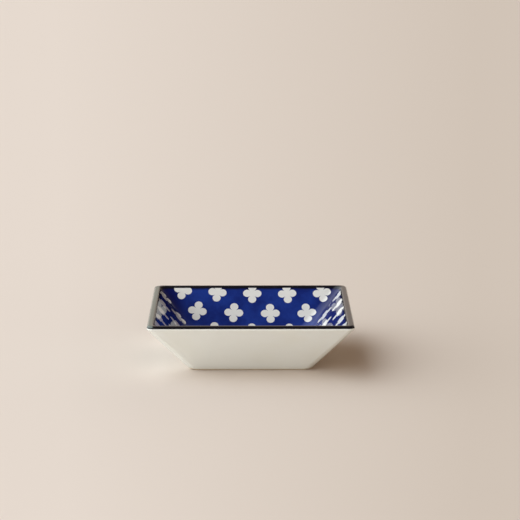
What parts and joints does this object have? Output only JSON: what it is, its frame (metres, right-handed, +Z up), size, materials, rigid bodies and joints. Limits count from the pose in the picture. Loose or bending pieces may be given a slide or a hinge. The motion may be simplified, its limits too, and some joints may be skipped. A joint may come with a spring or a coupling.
{
  "type": "soy sauce dish",
  "caption": "Small square ceramic sauce dish with flared flat walls, a dark rim line, a white glazed outside and a blue printed inside.",
  "frame": {"origin": "middle of the foot, on the surface that the dish stands on", "axes": "+Z up out of the dish, +X and +Y along its sides, -Y towards the side the picture shows"},
  "size_m": [0.0904, 0.0904, 0.0237],
  "materials": {
    "bare_clay": "unglazed, ground smooth",
    "white_glaze": "glossy creamy white glaze",
    "rim_glaze": "glossy near-black banding",
    "blue_glaze": "glossy cobalt blue print"
  },
  "bodies": {
    "root": {"ceramic_body": "bare_clay", "outer_glaze": "white_glaze", "underside_glaze": "white_glaze", "rim_band": "rim_glaze", "blue_print": "blue_glaze", "floor_figures": "white_glaze", "back_wall_figures": "white_glaze", "left_wall_figures": "white_glaze", "front_wall_figures": "white_glaze", "right_wall_figures": "white_glaze"}
  },
  "joints": []
}
